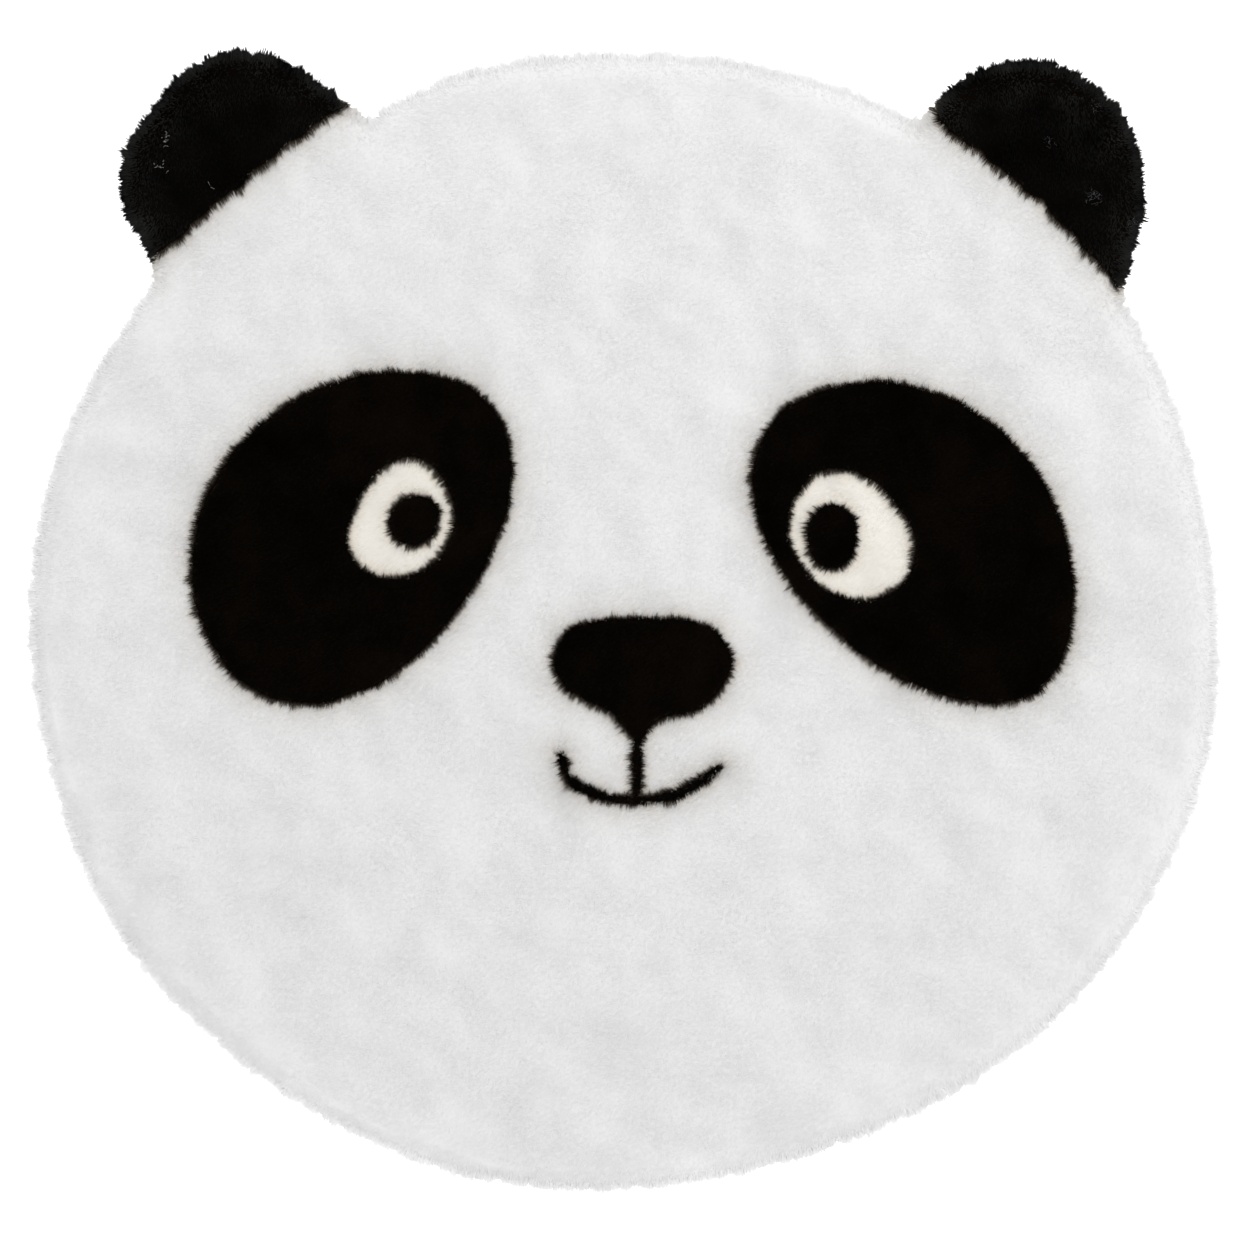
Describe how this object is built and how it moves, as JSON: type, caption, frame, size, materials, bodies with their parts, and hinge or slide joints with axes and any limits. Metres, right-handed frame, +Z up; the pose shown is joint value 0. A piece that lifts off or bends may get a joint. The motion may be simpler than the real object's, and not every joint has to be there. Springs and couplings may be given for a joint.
{
  "type": "panda-head-shaped plush floor rug",
  "caption": "Flat plush floor rug for a child's room in the shape of a panda's head with round ears, its black and cream face printed on the pile.",
  "frame": {"origin": "on the floor under the middle of the rug, at the underside of its ground cloth", "axes": "+X to the rug's right as seen from above with its ears away, +Y from chin to ears, +Z up out of the pile"},
  "size_m": [0.9043, 0.8663, 0.0194],
  "materials": {
    "white_pile": "soft dense plush pile, cool off-white with a faint cloudy shade",
    "black_pile": "the same plush pile, printed warm black with a hairy brownish edge",
    "cream_pile": "the same plush pile, printed warm cream in the eyes",
    "ground_cloth": "plain knitted ground cloth, matt"
  },
  "bodies": {
    "root": {"plush_rug": "white_pile"}
  },
  "joints": []
}
